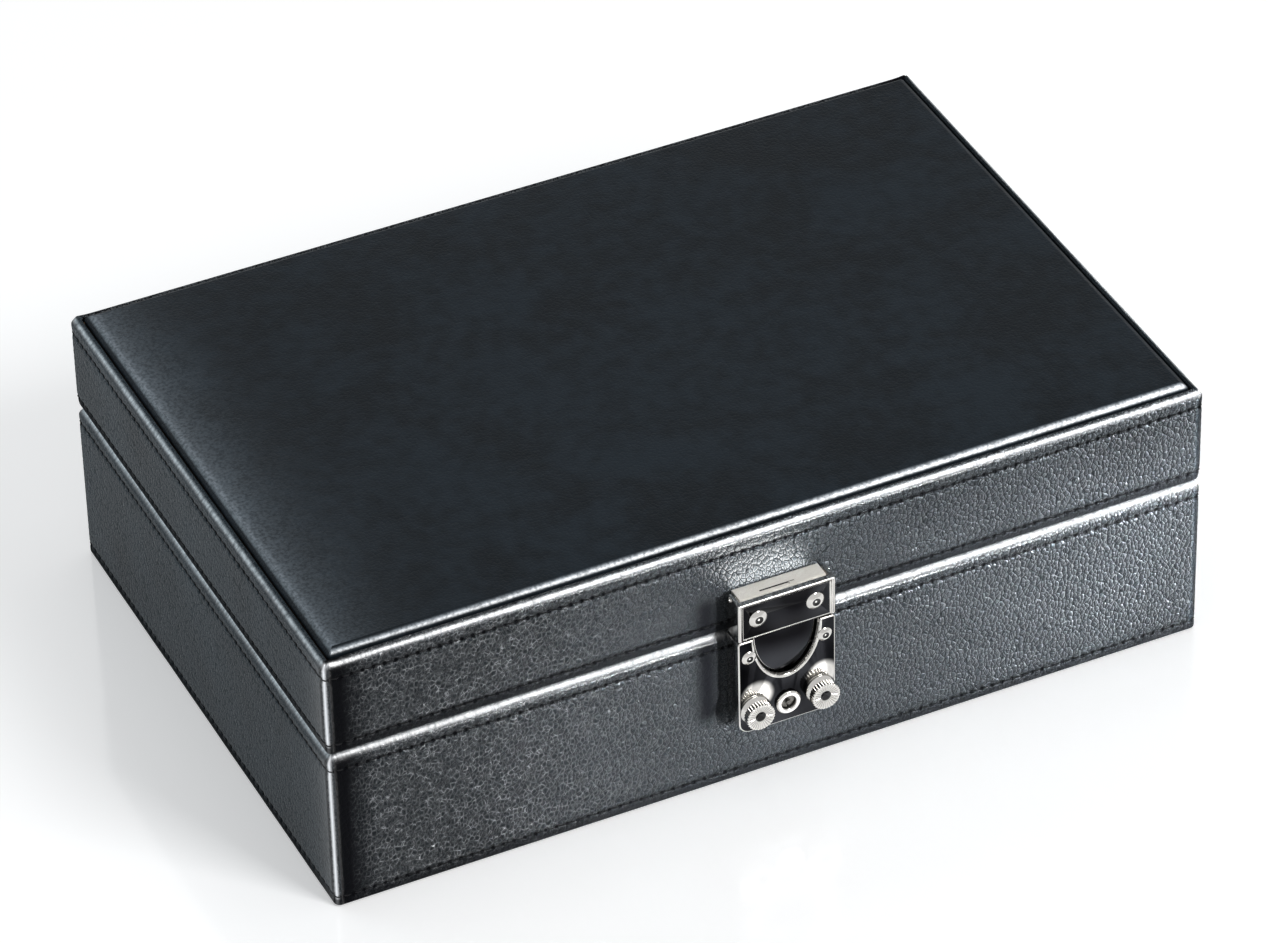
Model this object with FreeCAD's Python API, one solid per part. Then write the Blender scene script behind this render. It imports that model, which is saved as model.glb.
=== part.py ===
import FreeCAD, Part
import math
import os

from FreeCAD import Vector

# A leather-covered jewelry box with a hinged lid and a nickel-plated hasp lock.
# Millimetres. X runs along the front, Y to the back, Z up; the origin is the middle of the
# underside, on the surface that the box stands on.

# ---------------------------------------------------------------- driving dimensions

width = 270.0              # over the leather, left to right
depth = 180.0              # over the leather, front to back
rim_height = 85.0          # top of the lid's stitched rim
seam_height = 53.2         # the hinge line, midway between base and lid
seam_gap = 0.4             # between the closed base and lid

leather = 1.2              # wall leather
board = 5.0                # fibreboard of the walls
lining = 0.8               # velvet on thin card
corner_radius = 2.0        # the wrapped upright corners
edge_radius = 1.8          # the turned top edges of the leather
hem_radius = 1.3           # its lower edges

underside_sheet = 0.4      # the sheet that the box stands on
bottom_board = 4.0
floor_pad = 2.0
lid_board = 3.2
rim_fold = 2.4             # the lid's rim is the leather folded double
pad_inset = 3.3            # from the outer face to the padded top panel
pad_rise = 2.2             # the panel above the rim
pad_edge_radius = 2.0
ceiling_pad = 3.0

divider = 3.0
divider_top = 45.0
long_divider_y = 8.0
ring_divider_x = -40.0
front_divider_x = 45.0
rear_divider_x = 60.0
ring_rolls = 6
ring_roll_height = 22.0
roll_gap = 0.3

hinge_offset = 85.0        # the two hinges, left and right of the middle
hinge_length = 30.0
hinge_knuckles = 3
hinge_leaf = 1.0
hinge_leaf_height = 12.0
hinge_barrel_radius = 2.0
hinge_pin_radius = 0.95
hinge_axis_out = 2.1       # the hinge axis behind the back face
hinge_screw_offset = 9.0
hinge_screw_head = 1.7     # radius
stop_lug_width = 6.0

lock_width = 30.0
lock_front = 7.4           # the lock's front plane, out from the leather
lock_case_bottom = 21.9
lock_case_top = 54.0
lock_sheet = 1.0
lock_front_plate = 1.4
back_plate = 0.8
notch_half_width = 9.9     # the case's U notch, half an ellipse
notch_depth = 15.6
tongue_clearance = 0.4
tongue_sheet = 1.2
tongue_front = 5.6         # its front face, out from the leather
hasp_bottom = 54.5
hasp_top = 67.4
hasp_border = 0.4          # the raised border round its front
cheek = 1.3
hasp_axis_out = 2.6
hasp_axis_height = 66.4
hasp_pin_radius = 0.6
bracket_waist = 3.4
head_sides = 16            # the small fasteners' heads are plain prisms

knob_x = 10.1
knob_height = 29.5
knob_radius = 4.4
knob_shaft_radius = 1.5
knob_turn = 30.0           # degrees from open to locked
knurls = 28
knurl_depth = 0.35
key_height = 28.8
running_fit = 0.05

# ---------------------------------------------------------------- derived levels

half_width = width / 2
half_depth = depth / 2
base_top = seam_height - seam_gap / 2
lid_bottom = seam_height + seam_gap / 2
wall = leather + board                       # outer face to the inner face of the boards
inner = wall + lining                        # outer face to the velvet
floor_board_bottom = underside_sheet + 0.8   # on the leather's turned-under edge
floor_board_top = floor_board_bottom + bottom_board
floor_level = floor_board_top + floor_pad
base_board_top = base_top - leather
lid_board_bottom = lid_bottom + leather
lid_deck = 79.8                              # where the top board lies on the lid's walls
lid_board_top = lid_deck + lid_board
pad_top = rim_height + pad_rise
hinge_axis_y = half_depth + hinge_axis_out


def block(x0, x1, y0, y1, z0, z1):
    return Part.makeBox(x1 - x0, y1 - y0, z1 - z0, Vector(x0, y0, z0))


def slab(inset, z0, z1):
    """The box's plan, drawn in by inset on all four sides, between two heights."""
    x = half_width - inset
    y = half_depth - inset
    return block(-x, x, -y, y, z0, z1)


def rod(radius, start, end):
    """A round bar from one point to another."""
    run = end.sub(start)
    return Part.makeCylinder(radius, run.Length, start, run)


def is_upright(edge):
    a, b = edge.Vertexes[0].Point, edge.Vertexes[-1].Point
    return abs(a.x - b.x) < 1e-6 and abs(a.y - b.y) < 1e-6 and abs(a.z - b.z) > 1e-6


def round_uprights(shape, radius):
    return shape.makeFillet(radius, [e for e in shape.Edges if is_upright(e)])


def edges_at(shape, z):
    """Every edge that lies in the level plane z."""
    return [e for e in shape.Edges
            if all(abs(v.Point.z - z) < 1e-6 for v in e.Vertexes)
            and abs(e.CenterOfMass.z - z) < 1e-6]


def round_level(shape, radius, z):
    return shape.makeFillet(radius, edges_at(shape, z))


def bevel_level(shape, size, z):
    return shape.makeChamfer(size, edges_at(shape, z))


def rounded_slab(inset, z0, z1, radius):
    return round_uprights(slab(inset, z0, z1), radius)


def save(name, shape):
    shape.exportStep("parts/" + name + ".step")


# ---------------------------------------------------------------- fixings

case_rivet_points = [(-11.7, 48.2), (11.7, 48.2)]
plate_rivet_points = [(-5.5, 25.2), (5.5, 25.2)]
bracket_rivet_points = [(-9.0, 58.4), (9.0, 58.4)]
hasp_rivet_points = [(-8.8, 61.0), (8.8, 61.0)]
rivet_radius = 1.0


def hinge_xs():
    return {"left": -hinge_offset, "right": hinge_offset}


def prism(corners, z0, z1):
    """An upright prism on a closed run of corners."""
    outline = Part.makePolygon([Vector(x, y, z0) for x, y in corners + corners[:1]])
    return Part.Face(outline).extrude(Vector(0, 0, z1 - z0))


def ring_of(radii):
    """Corners spread evenly round a circle, one for each radius."""
    turn = 2 * math.pi / len(radii)
    return [(r * math.cos(turn * i), r * math.sin(turn * i)) for i, r in enumerate(radii)]


def headed(head_radius, head, shank):
    """A rivet or screw standing on Z: its plain many-sided head above zero, its shank
    below."""
    disc = prism(ring_of([head_radius] * head_sides), 0, head)
    if not shank:
        return disc
    return disc.fuse(Part.makeCylinder(rivet_radius, shank, Vector(0, 0, -shank))).removeSplitter()


# ---------------------------------------------------------------- base: walls and leather


def wall_boards(z0, z1):
    """Four boards: front and back run full length, the sides stand between them."""
    x = half_width - leather
    y = half_depth - leather
    return {
        "front": block(-x, x, -y, -y + board, z0, z1),
        "back": block(-x, x, y - board, y, z0, z1),
        "left": block(-x, -x + board, -y + board, y - board, z0, z1),
        "right": block(x - board, x, -y + board, y - board, z0, z1),
    }


def base_boards():
    for side, shape in wall_boards(floor_board_bottom, base_board_top).items():
        save("base_" + side + "_board", shape)
    save("base_bottom_board", slab(wall, floor_board_bottom, floor_board_top))


def base_wall_leather():
    """One strip round the walls, turned in over their top edges and under the bottom."""
    turned_under = 12.0
    skin = rounded_slab(0, underside_sheet, base_top, corner_radius)
    skin = round_level(skin, edge_radius, base_top)
    skin = bevel_level(skin, hem_radius / 2, underside_sheet)
    skin = skin.cut(slab(leather, floor_board_bottom, base_board_top))
    skin = skin.cut(slab(inner, base_board_top - 1, base_top + 1))
    return skin.cut(slab(turned_under, 0, floor_board_bottom))


def base_underside_cover():
    """A stiff sheet that hides the turned-under leather and sinks between its edges."""
    sheet = rounded_slab(2.5, 0, underside_sheet, corner_radius)
    return sheet.fuse(slab(12.2, underside_sheet, floor_board_bottom)).removeSplitter()


def base_wall_lining():
    ring = slab(wall, floor_board_top, base_board_top)
    return ring.cut(slab(inner, floor_board_top - 1, base_board_top + 1))


# ---------------------------------------------------------------- base: inside


def divider_board(x0, x1, y0, y1):
    """A velvet-covered board standing on the floor pad, its top edge rounded."""
    standing = block(x0, x1, y0, y1, floor_level, divider_top)
    along_x = x1 - x0 > y1 - y0
    top = [e for e in standing.Edges
           if all(abs(v.Point.z - divider_top) < 1e-6 for v in e.Vertexes)
           and (abs(e.Vertexes[0].X - e.Vertexes[-1].X) > divider if along_x
                else abs(e.Vertexes[0].Y - e.Vertexes[-1].Y) > divider)]
    return standing.makeFillet(divider * 0.4, top)


def dividers():
    x = half_width - inner
    y = half_depth - inner
    front = long_divider_y - divider / 2
    rear = long_divider_y + divider / 2
    half = divider / 2
    save("long_divider", divider_board(-x, x, front, rear))
    save("ring_divider", divider_board(ring_divider_x - half, ring_divider_x + half, -y, front))
    save("front_divider", divider_board(front_divider_x - half, front_divider_x + half, -y, front))
    save("rear_divider", divider_board(rear_divider_x - half, rear_divider_x + half, rear, y))


def ring_roll(number):
    """A foam roll, flat below and round above, lying along X."""
    y0 = -half_depth + inner
    room = long_divider_y - divider / 2 - y0
    pitch = room / ring_rolls
    x0 = -half_width + inner + roll_gap
    x1 = ring_divider_x - divider / 2 - roll_gap
    middle = y0 + pitch * (number + 0.5)
    half = pitch / 2 - roll_gap
    z0 = floor_level
    z1 = floor_level + ring_roll_height
    side_top = z1 - half
    corners = [Vector(x0, middle - half, z0), Vector(x0, middle + half, z0),
               Vector(x0, middle + half, side_top), Vector(x0, middle - half, side_top)]
    crown = Part.Arc(corners[2], Vector(x0, middle, z1), corners[3]).toShape()
    sides = [Part.makeLine(corners[0], corners[1]), Part.makeLine(corners[1], corners[2])]
    end = Part.Wire(sides + [crown, Part.makeLine(corners[3], corners[0])])
    return Part.Face(end).extrude(Vector(x1 - x0, 0, 0))


def base_inside():
    save("base_wall_lining", base_wall_lining())
    save("base_floor_pad", slab(inner, floor_board_top, floor_level))
    dividers()
    for number in range(ring_rolls):
        save("ring_roll_" + str(number + 1), ring_roll(number))


# ---------------------------------------------------------------- lid


def lid_boards():
    for side, shape in wall_boards(lid_board_bottom, lid_deck).items():
        save("lid_" + side + "_board", shape)
    save("lid_top_board", slab(rim_fold, lid_deck, lid_board_top))


def lid_wall_leather():
    """One strip round the lid: folded double above the deck to make the standing rim,
    and turned in under the walls at the seam."""
    skin = rounded_slab(0, lid_bottom, rim_height, corner_radius)
    skin = round_level(skin, edge_radius * 0.85, rim_height)
    skin = bevel_level(skin, hem_radius, lid_bottom)
    skin = skin.cut(slab(leather, lid_board_bottom, lid_deck))
    skin = skin.cut(slab(inner, lid_bottom - 1, lid_board_bottom + 1))
    return skin.cut(slab(rim_fold, lid_deck - 1, rim_height + 1))


def lid_top_pad():
    """Leather over foam on the top board, a narrow groove inside the rim."""
    return round_level(slab(pad_inset, lid_board_top, pad_top), pad_edge_radius, pad_top)


def lid_inside():
    ring = slab(wall, lid_board_bottom, lid_deck)
    ring = ring.cut(slab(inner, lid_board_bottom - 1, lid_deck + 1))
    save("lid_wall_lining", ring)
    cushion = slab(inner, lid_deck - ceiling_pad, lid_deck)
    save("lid_ceiling_pad", round_level(cushion, ceiling_pad * 0.4, lid_deck - ceiling_pad))


# ---------------------------------------------------------------- back hinges


def knuckle(x0, x1):
    return rod(hinge_barrel_radius, Vector(x0, hinge_axis_y, seam_height),
               Vector(x1, hinge_axis_y, seam_height))


def stop_lug(x0):
    """A lug behind the barrel. The lid's leaf lies on it when the lid stands at 95 degrees."""
    return block(x0, x0 + stop_lug_width, hinge_axis_y, hinge_axis_y + 3.5,
                 seam_height - 0.5, seam_height + 0.62)


def hinge_leaf_shape(x_middle, up):
    """A butt hinge's leaf, up = 1 for the lid's and -1 for the base's. The base's two end
    knuckles carry the stop lugs."""
    pitch = hinge_length / hinge_knuckles
    side_gap = 0.06
    clear = hinge_barrel_radius + 0.3
    x0 = x_middle - hinge_length / 2
    y0 = half_depth
    y1 = half_depth + hinge_leaf
    near = seam_height + up * clear
    far = seam_height + up * hinge_leaf_height
    leaf = block(x0, x0 + hinge_length, y0, y1, min(near, far), max(near, far))
    corner = [e for e in leaf.Edges
              if abs(e.Vertexes[0].Z - far) < 1e-6 and abs(e.Vertexes[-1].Z - far) < 1e-6
              and abs(e.Vertexes[0].Y - e.Vertexes[-1].Y) > 0.5]
    leaf = leaf.makeChamfer(2.0, corner)
    for k in range(0 if up < 0 else 1, hinge_knuckles, 2):
        a = x0 + k * pitch + side_gap
        b = x0 + (k + 1) * pitch - side_gap
        neck = block(a, b, y0, y1, min(seam_height, near), max(seam_height, near))
        leaf = leaf.fuse(neck).fuse(knuckle(a, b))
        if up < 0:
            leaf = leaf.fuse(stop_lug(a if k == 0 else b - stop_lug_width))
    bore = rod(hinge_pin_radius + running_fit, Vector(x0 - 1, hinge_axis_y, seam_height),
               Vector(x0 + hinge_length + 1, hinge_axis_y, seam_height))
    return leaf.cut(bore).removeSplitter()


def hinge_pin(x_middle):
    half = hinge_length / 2 + 0.5
    return rod(hinge_pin_radius, Vector(x_middle - half, hinge_axis_y, seam_height),
               Vector(x_middle + half, hinge_axis_y, seam_height))


def hinge_screws(up):
    """The heads of the two screws in each leaf; up is 1 on the lid and -1 on the base."""
    z = seam_height + up * (hinge_leaf_height - 4.2)
    face = half_depth + hinge_leaf
    made = []
    for x in hinge_xs().values():
        for side in (-1, 1):
            head = headed(hinge_screw_head, 0.8, 0)
            head.rotate(Vector(0, 0, 0), Vector(1, 0, 0), -90)
            head.translate(Vector(x + side * hinge_screw_offset, face, z))
            made.append(head)
    return Part.makeCompound(made)


def hinges():
    for side, x in hinge_xs().items():
        save("hinge_base_leaf_" + side, hinge_leaf_shape(x, -1))
        save("hinge_lid_leaf_" + side, hinge_leaf_shape(x, 1))
        save("hinge_pin_" + side, hinge_pin(x))
    save("hinge_base_screws", hinge_screws(-1))
    save("hinge_lid_screws", hinge_screws(1))


# ---------------------------------------------------------------- lock
# The lock's pieces are drawn lying on their backs: X along the front, Y for the height
# above the floor and Z outwards from the leather. stand() puts them on the front face.


def stand(shape):
    upright = shape.copy()
    upright.rotate(Vector(0, 0, 0), Vector(1, 0, 0), 90)
    upright.translate(Vector(0, -half_depth, 0))
    return upright


def rounded_plate(x, y0, y1, z0, z1, low_radius, high_radius):
    """A plate centred on X with its two low and its two high corners rounded."""
    plate = block(-x, x, y0, y1, z0, z1)
    low = [e for e in plate.Edges if is_upright(e) and abs(e.CenterOfMass.y - y0) < 1e-6]
    plate = plate.makeFillet(low_radius, low)
    high = [e for e in plate.Edges if is_upright(e) and abs(e.CenterOfMass.y - y1) < 1e-6]
    return plate.makeFillet(high_radius, high)


def half_ellipse(half, drop, top, y_end, z0, z1):
    """A tongue shape: the lower half of an ellipse hung from the height top, carried
    straight up to y_end, and as thick as z0 to z1."""
    centre = Vector(0, top, z0)
    curve = Part.Ellipse(Vector(0, top - drop, z0), Vector(half, top, z0), centre)
    bow = Part.ArcOfEllipse(curve, -math.pi / 2, math.pi / 2).toShape()
    start = bow.Vertexes[0].Point
    end = bow.Vertexes[-1].Point
    up_end = Vector(end.x, y_end, z0)
    up_start = Vector(start.x, y_end, z0)
    outline = Part.Wire([bow, Part.makeLine(end, up_end), Part.makeLine(up_end, up_start),
                         Part.makeLine(up_start, start)])
    return Part.Face(outline).extrude(Vector(0, 0, z1 - z0))


def lock_case():
    """A pressed case, open at the back, with a U notch in its front that the hasp's
    tongue drops into, and round holes for the knobs, the key and the rivets."""
    half = lock_width / 2
    shell = rounded_plate(half, lock_case_bottom, lock_case_top, 0, lock_front, 3.6, 0.9)
    hollow = rounded_plate(half - lock_sheet, lock_case_bottom + lock_sheet,
                           lock_case_top - lock_sheet, -1, lock_front - lock_front_plate, 2.6, 0.5)
    shell = shell.cut(hollow)
    notch = half_ellipse(notch_half_width, notch_depth, lock_case_top, lock_case_top + 1,
                         -1, lock_front + 1)
    shell = shell.cut(notch)
    rim = [e for e in edges_at(shell, lock_front)
           if e.BoundBox.YLength > notch_depth / 2 and abs(e.CenterOfMass.x) < notch_half_width]
    shell = shell.makeChamfer(0.5, rim)
    for x in (-knob_x, knob_x):
        shell = shell.cut(rod(knob_shaft_radius + running_fit, Vector(x, knob_height, 0),
                              Vector(x, knob_height, 9)))
    shell = shell.cut(rod(key_plug_radius + running_fit, Vector(0, key_height, 0),
                          Vector(0, key_height, 9)))
    return stand(shell)


def lock_back_plate():
    half = lock_width / 2 - lock_sheet - 0.1
    return stand(rounded_plate(half, lock_case_bottom + lock_sheet + 0.1, lock_case_top - 2.0,
                               0, back_plate, 2.4, 0.5))


def rivets(points, face, head_radius, head, shank):
    """A group of like rivets, their heads standing on the plane at face."""
    made = []
    for x, y in points:
        rivet = headed(head_radius, head, shank)
        rivet.translate(Vector(x, y, face))
        made.append(stand(rivet))
    return Part.makeCompound(made)


key_plug_radius = 2.15
key_bore_radius = 0.78
key_bar_reach = 5.7
key_bar_thick = 0.9
lever_layer = (2.6, 4.0)      # the catch arms' plane inside the case
bar_layer = (4.6, 5.6)        # the plane of the key's bar and the cams' lugs


def key_escutcheon():
    ring = Part.makeCylinder(3.8, 1.1, Vector(0, key_height, lock_front))
    ring = ring.cut(rod(key_plug_radius + running_fit, Vector(0, key_height, 0), Vector(0, key_height, 12)))
    return stand(ring)


def key_plug():
    """The barrel that the key turns. Its bar hangs down when unlocked; a quarter turn
    swings it to the right, where it blocks the lug of the right-hand knob's cam."""
    barrel = rod(key_plug_radius, Vector(0, key_height, 1.2), Vector(0, key_height, lock_front + 0.1))
    bar = block(-key_bar_thick / 2, key_bar_thick / 2, key_height - key_bar_reach, key_height, *bar_layer)
    plug = barrel.fuse(bar)
    plug = plug.cut(rod(key_bore_radius, Vector(0, key_height, 0), Vector(0, key_height, 12)))
    ward = block(-0.35, 0.35, key_height - 1.9, key_height, 5.9, 12)
    return stand(plug.cut(ward).removeSplitter())


def key_post():
    """The fixed post that a hollow key slides over."""
    return stand(rod(0.7, Vector(0, key_height, back_plate), Vector(0, key_height, lock_front + 0.8)))


def knob(side):
    """A knurled knob with a flared skirt and a hollow face, on a plain shaft."""
    foot = lock_front + 0.12
    neck = lock_front + 1.7
    face = lock_front + 4.2
    section = [(0, 1.3), (knob_shaft_radius, 1.3), (knob_shaft_radius, foot), (4.6, foot),
               (2.7, neck), (2.7, face - 1.5), (0, face - 1.5)]
    turned = Part.Face(Part.makePolygon([Vector(r, 0, z) for r, z in section + section[:1]]))
    turned = turned.revolve(Vector(0, 0, 0), Vector(0, 0, 1), 360)
    rim = prism(ring_of([knob_radius, knob_radius - knurl_depth] * knurls), neck, face)
    dish = Part.makeCone(1.0, 3.1, 1.5, Vector(0, 0, face - 1.5))
    made = turned.fuse(rim).cut(dish).removeSplitter()
    made.translate(Vector(side * knob_x, knob_height, 0))
    return stand(made)


def knob_cam(side):
    """The stamped cam on a knob's shaft: an arm whose finger hooks over the tongue's
    catch when the knob is turned. Drawn for the right-hand knob in the locked pose, turned
    back to open, and mirrored for the left, which has no lug for the key's bar."""
    arm_end = Vector(-4.5, 11.4, 0)
    tip = Vector(-8.5, 11.6, 0)
    half_arm = 1.0
    half_finger = 0.6
    z0, z1 = lever_layer
    along = Vector(arm_end).normalize()
    across = Vector(-along.y, along.x, 0) * half_arm
    corners = [across * -1, arm_end - across, arm_end + across, across]
    arm = Part.Face(Part.makePolygon(corners + corners[:1])).extrude(Vector(0, 0, z1 - z0))
    arm.translate(Vector(0, 0, z0))
    finger = block(tip.x, arm_end.x + 0.5, tip.y - half_finger, tip.y + half_finger, z0, z1)
    cam = arm.fuse(finger).fuse(rod(2.6, Vector(0, 0, z0), Vector(0, 0, bar_layer[1])))
    if side > 0:
        lug = block(0, 4.8, -0.4, 0.4, *bar_layer)
        lug.rotate(Vector(0, 0, 0), Vector(0, 0, 1), 202.5)
        cam = cam.fuse(lug)
    cam = cam.cut(rod(knob_shaft_radius, Vector(0, 0, 0), Vector(0, 0, 9))).removeSplitter()
    cam.rotate(Vector(0, 0, 0), Vector(0, 0, 1), -knob_turn)
    cam.translate(Vector(knob_x, knob_height, 0))
    if side < 0:
        cam = cam.mirror(Vector(0, 0, 0), Vector(1, 0, 0))
    return stand(cam)


def lock():
    save("lock_case", lock_case())
    save("lock_back_plate", lock_back_plate())
    save("lock_case_rivets", rivets(case_rivet_points, lock_front, 2.25, 0.9, 0))
    save("lock_plate_rivets", rivets(plate_rivet_points, back_plate, 1.8, 0.5, 0))
    save("key_escutcheon", key_escutcheon())
    save("key_post", key_post())
    save("key_plug", key_plug())
    for name, side in (("left", -1), ("right", 1)):
        save("lock_knob_" + name, knob(side))
        save("knob_cam_" + name, knob_cam(side))


# ---------------------------------------------------------------- hasp


def side_profile(points, arcs, half):
    """Extrudes an outline drawn in the side view, (out, height) pairs, across X. arcs
    gives the point that the edge after the numbered corner bends through."""
    at = [Vector(-half, y, z) for z, y in points]
    edges = []
    for i, start in enumerate(at):
        end = at[(i + 1) % len(at)]
        if i in arcs:
            z, y = arcs[i]
            edges.append(Part.Arc(start, Vector(-half, y, z), end).toShape())
        else:
            edges.append(Part.makeLine(start, end))
    return Part.Face(Part.Wire(edges)).extrude(Vector(2 * half, 0, 0))


def hasp_bracket():
    """The block on the lid that carries the hasp's pin. Its top is the shelf between the
    cheeks; its front is rounded about the pin so that the hasp can swing up over it."""
    half = lock_width / 2 - cheek - 0.5
    knuckle_radius = 2.75
    rise = hasp_top - hasp_axis_height
    drop = math.sqrt(knuckle_radius ** 2 - (bracket_waist - hasp_axis_out) ** 2)
    reach = math.sqrt(knuckle_radius ** 2 - rise ** 2)
    outline = [(0, 55.2), (bracket_waist, 55.2), (bracket_waist, hasp_axis_height - drop),
               (hasp_axis_out + reach, hasp_top), (0, hasp_top)]
    body = side_profile(outline, {2: (hasp_axis_out + knuckle_radius, hasp_axis_height)}, half)
    slot = block(-6.5, 2.6, hasp_top - 0.6, hasp_top + 1, 3.4, 4.6)
    step = block(2.5, 4.2, hasp_top - 0.3, hasp_top + 1, 3.4, 4.0)
    body = body.cut(slot).cut(step)
    body = body.cut(rod(hasp_pin_radius, Vector(-half - 1, hasp_axis_height, hasp_axis_out),
                        Vector(half + 1, hasp_axis_height, hasp_axis_out)))
    return stand(body)


def hasp_pin():
    half = lock_width / 2 + 0.4
    pin = rod(hasp_pin_radius, Vector(-half, hasp_axis_height, hasp_axis_out),
              Vector(half, hasp_axis_height, hasp_axis_out))
    return stand(pin)


def hasp_cover():
    """The swinging hasp: a front plate with a raised border, between two cheeks that
    turn on the pin."""
    half = lock_width / 2
    inside = half - cheek
    front = lock_front + hasp_border
    cheeks = side_profile([(0.6, hasp_bottom), (front, hasp_bottom), (front, hasp_top),
                           (1.2, hasp_top), (0.6, hasp_top - 0.6)], {}, half)
    bore = block(-inside, inside, hasp_bottom - 1, hasp_top + 1, -1, tongue_front)
    cover = cheeks.cut(bore)
    recess = block(-inside, inside, hasp_bottom - 1, hasp_top - 0.9, lock_front, front + 1)
    cover = cover.cut(recess)
    low_front = [e for e in cover.Edges
                 if all(abs(v.Point.y - hasp_bottom) < 1e-6 and v.Point.z > lock_front - 0.01
                        for v in e.Vertexes) and e.BoundBox.XLength > 1]
    cover = cover.makeChamfer(0.35, low_front)
    outer = [e for e in cover.Edges
             if all(abs(abs(v.Point.x) - half) < 1e-6 and abs(v.Point.z - front) < 1e-6
                    for v in e.Vertexes) and e.BoundBox.YLength > 5]
    cover = cover.makeChamfer(0.35, outer)
    cover = cover.cut(rod(hasp_pin_radius + running_fit, Vector(-half - 1, hasp_axis_height, hasp_axis_out),
                          Vector(half + 1, hasp_axis_height, hasp_axis_out)))
    for x, y in hasp_rivet_points:
        cover = cover.cut(rod(rivet_radius + running_fit, Vector(x, y, 0), Vector(x, y, 12)))
    return stand(cover)


def hasp_tongue():
    """A flat plate riveted behind the hasp's front, its lower end the notch's shape less
    an even clearance."""
    z0 = tongue_front - tongue_sheet
    shoulder = hasp_bottom + 0.6
    end = half_ellipse(notch_half_width - tongue_clearance, notch_depth - tongue_clearance,
                       lock_case_top, shoulder, z0, tongue_front)
    end = end.fuse(block(-12, 12, shoulder, 64.0, z0, tongue_front)).removeSplitter()
    return stand(end)


def tongue_catch():
    """The hook behind the tongue that the cams' fingers close over."""
    z0 = tongue_front - tongue_sheet
    back = 1.4
    shelf = 39.5
    sheet = 0.7
    hook = side_profile([(z0, shelf), (z0, 43.4), (z0 - 0.3, 43.4), (z0 - 0.3, shelf + sheet),
                         (back + sheet, shelf + sheet), (back + sheet, 42.6), (back, 42.6),
                         (back, shelf)], {}, 3.2)
    return stand(hook)


def hasp():
    save("hasp_bracket", hasp_bracket())
    save("hasp_bracket_rivets", rivets(bracket_rivet_points, bracket_waist, 1.9, 0.5, 0))
    save("hasp_pin", hasp_pin())
    save("hasp_cover", hasp_cover())
    save("hasp_tongue", hasp_tongue())
    save("tongue_catch", tongue_catch())
    save("hasp_rivets", rivets(hasp_rivet_points, lock_front, 2.8, 1.1, lock_front - tongue_front))


# ---------------------------------------------------------------- the whole box

os.makedirs("parts", exist_ok=True)
base_boards()
save("base_wall_leather", base_wall_leather())
save("base_underside_cover", base_underside_cover())
base_inside()
lid_boards()
save("lid_wall_leather", lid_wall_leather())
save("lid_top_pad", lid_top_pad())
lid_inside()
hinges()
lock()
hasp()
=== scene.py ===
import math

import bmesh
import bpy
import numpy as np
from mathutils import Matrix, Vector


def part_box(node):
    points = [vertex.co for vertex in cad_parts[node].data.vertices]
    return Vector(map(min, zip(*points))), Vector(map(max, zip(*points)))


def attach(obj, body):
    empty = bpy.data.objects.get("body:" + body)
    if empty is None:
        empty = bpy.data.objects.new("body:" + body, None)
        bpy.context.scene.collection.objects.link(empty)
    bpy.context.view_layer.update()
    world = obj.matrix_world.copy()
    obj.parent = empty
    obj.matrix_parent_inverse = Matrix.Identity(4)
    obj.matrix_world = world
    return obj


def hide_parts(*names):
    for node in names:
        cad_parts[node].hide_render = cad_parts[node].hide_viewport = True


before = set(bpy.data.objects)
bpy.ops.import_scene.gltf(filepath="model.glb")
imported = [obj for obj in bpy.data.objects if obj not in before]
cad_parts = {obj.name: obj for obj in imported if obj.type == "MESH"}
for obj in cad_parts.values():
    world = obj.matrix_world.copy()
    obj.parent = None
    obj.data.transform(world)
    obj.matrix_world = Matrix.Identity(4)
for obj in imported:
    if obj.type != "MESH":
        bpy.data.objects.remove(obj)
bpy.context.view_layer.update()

# -------- fibreboard shell
# Ten fibreboards, butted and glued, carry the box. Leather and velvet cover them all over,
# so they only need the speckled brown of pressed wood fibre.

mm = 0.001


def tint(red, green, blue):
    """The linear colour of a swatch in steps of 0 to 255, by the usual display curve."""
    share = np.array([red, green, blue]) / 255
    low = share / 12.92
    high = ((share + 0.055) / 1.055) ** 2.4
    return (*np.where(share > 0.04045, high, low).tolist(), 1.0)


class Signal:
    """What a shader node puts out. Sums, differences and products with it are Math nodes."""

    def __init__(self, socket):
        self.tree = socket.id_data
        self.socket = socket

    def __add__(self, other):
        return maths("ADD", self, other)

    def __sub__(self, other):
        return maths("SUBTRACT", self, other)

    def __rsub__(self, other):
        return maths("SUBTRACT", other, self)

    def __mul__(self, other):
        return maths("MULTIPLY", self, other)


def add_node(tree, kind, inputs=None, **settings):
    """Adds a shader node, its inputs set to values or linked to signals."""
    node = tree.nodes.new("ShaderNode" + kind)
    for name, value in settings.items():
        setattr(node, name, value)
    for name, value in (inputs or {}).items():
        if isinstance(value, Signal):
            tree.links.new(value.socket, node.inputs[name])
        else:
            node.inputs[name].default_value = value
    return node


def signal(tree, kind, output, inputs=None, **settings):
    """One output of a new shader node."""
    return Signal(add_node(tree, kind, inputs, **settings).outputs[output])


def maths(operation, *values):
    """A Math node's result. One value at least is a signal."""
    tree = next(value.tree for value in values if isinstance(value, Signal))
    return signal(tree, "Math", 0, dict(enumerate(values)), operation=operation)


def noise(spot, scale, detail=2.0, **more):
    """Smooth noise by place."""
    more.update(Vector=spot, Scale=scale, Detail=detail)
    return signal(spot.tree, "TexNoise", "Fac", more)


def ramp(value, start, end, low=0.0, high=1.0, soft=False):
    """Carries start to low and end to high, and holds both beyond; soft rounds the bends."""
    limits = {"From Min": start, "From Max": end, "To Min": low, "To Max": high}
    return signal(value.tree, "MapRange", "Result", {"Value": value, **limits},
                  interpolation_type="SMOOTHSTEP" if soft else "LINEAR")


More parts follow.
